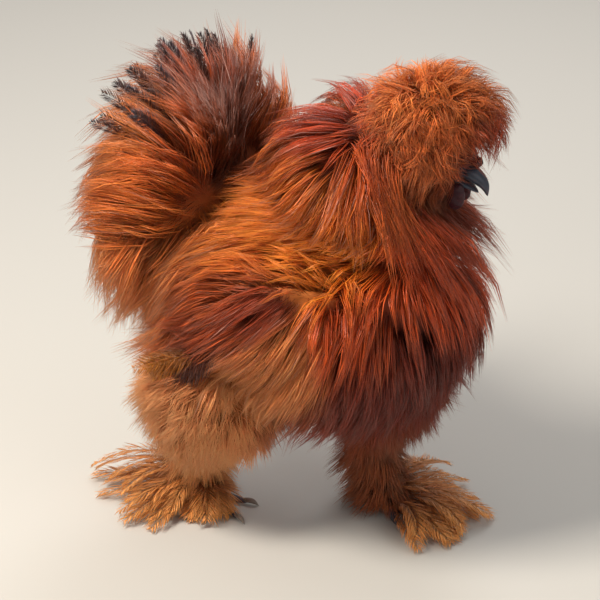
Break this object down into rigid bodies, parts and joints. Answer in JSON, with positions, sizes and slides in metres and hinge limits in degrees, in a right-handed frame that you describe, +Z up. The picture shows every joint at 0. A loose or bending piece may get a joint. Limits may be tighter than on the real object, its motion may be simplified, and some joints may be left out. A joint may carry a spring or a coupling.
{
  "type": "silkie chicken",
  "caption": "Life-size still model of a red silkie cockerel in mid-stride, with a round crest, cushion tail and feathered feet.",
  "frame": {"origin": "on the floor, under the middle of the bird's bounding box", "axes": "+X the way the bird faces, +Y to its left, +Z up"},
  "size_m": [0.3006, 0.189, 0.3458],
  "materials": {
    "body": "long silky plumage, mahogany to orange, soft gloss",
    "hackle": "long silky plumage, dark mahogany with a pale sheen",
    "crest": "short dense silky plumage, matte",
    "tail": "long soft plumage, light orange with slate tips",
    "wing": "silky coverts over frayed flight feathers",
    "thigh": "fluffy down, tan, matte",
    "foot": "slate toes under orange foot feathers",
    "face": "fine wrinkled bare skin",
    "comb": "wrinkled, dark mulberry",
    "earlobe": "soft skin, turquoise, matte",
    "beak": "horn, slate, semi-gloss",
    "eye": "wet, black"
  },
  "bodies": {
    "root": {"eye_right": "eye", "eye_left": "eye", "beak_upper": "beak", "beak_lower": "beak", "comb": "comb", "wattle_right": "comb", "wattle_left": "comb", "earlobe_right": "earlobe", "earlobe_left": "earlobe", "head": "face", "crest": "crest", "foot_right": "foot", "foot_left": "foot", "wing_right": "wing", "wing_left": "wing", "neck": "hackle", "tail": "tail", "torso": "body", "leg_right": "thigh", "leg_left": "thigh"}
  },
  "joints": []
}
